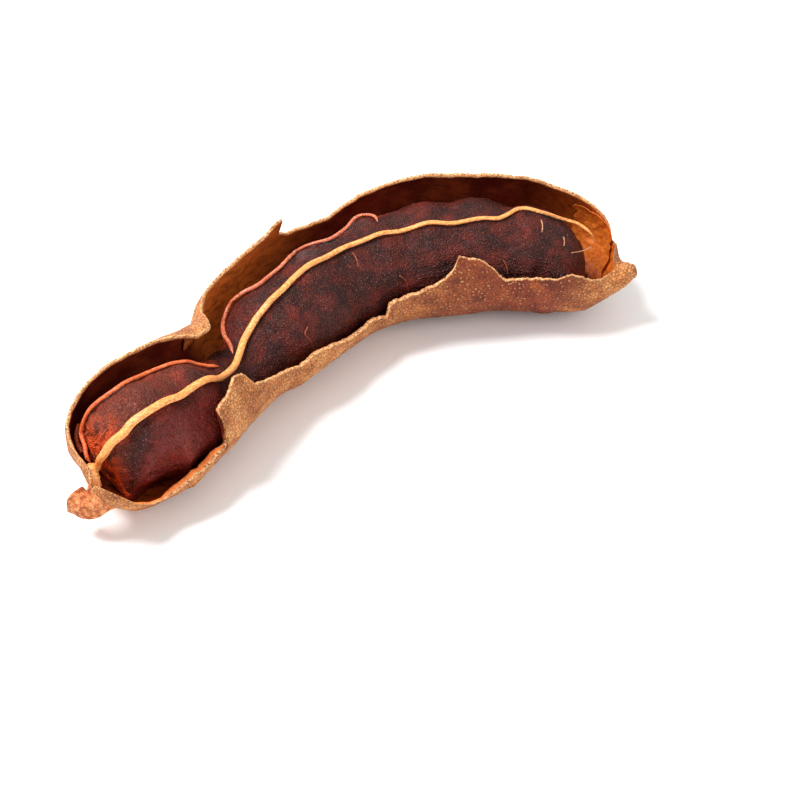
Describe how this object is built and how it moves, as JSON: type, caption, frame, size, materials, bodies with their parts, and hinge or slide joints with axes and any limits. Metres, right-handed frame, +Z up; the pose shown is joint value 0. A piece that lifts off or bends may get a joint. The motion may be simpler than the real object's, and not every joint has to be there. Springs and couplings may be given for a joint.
{
  "type": "tamarind pod",
  "caption": "Opened tamarind pod resting on its underside: brittle brown shell, dark sticky pulp and yellow fibres inside.",
  "frame": {"origin": "on the ground, under the middle of the pod's box", "axes": "+X along the pod's chord from the stalk to the tip, +Z up, the pod's bow towards +Y"},
  "size_m": [0.1474, 0.0589, 0.0292],
  "materials": {
    "shell": "dry, brittle and finely pebbled brown skin",
    "stalk": "rough reddish brown bark",
    "pulp": "dark, sticky and finely wrinkled, with a satin sheen",
    "strand": "golden, slightly waxy plant fibre",
    "side_strand": "orange red, slightly waxy plant fibre",
    "fibre": "thin pinkish plant fibre",
    "lining": "amber, papery and slightly see-through"
  },
  "bodies": {
    "root": {"shell": "shell", "stalk": "stalk", "pulp": "pulp", "main_strand": "strand", "lower_strand": "side_strand", "base_strand": "side_strand", "upper_strand": "side_strand", "cross_fibre_1": "fibre", "cross_fibre_2": "fibre", "cross_fibre_3": "fibre", "cross_fibre_4": "fibre", "cross_fibre_5": "fibre", "cross_fibre_6": "fibre", "tip_fibre": "fibre", "base_fibre": "fibre", "tip_lining": "lining", "neck_lining": "lining"}
  },
  "joints": []
}
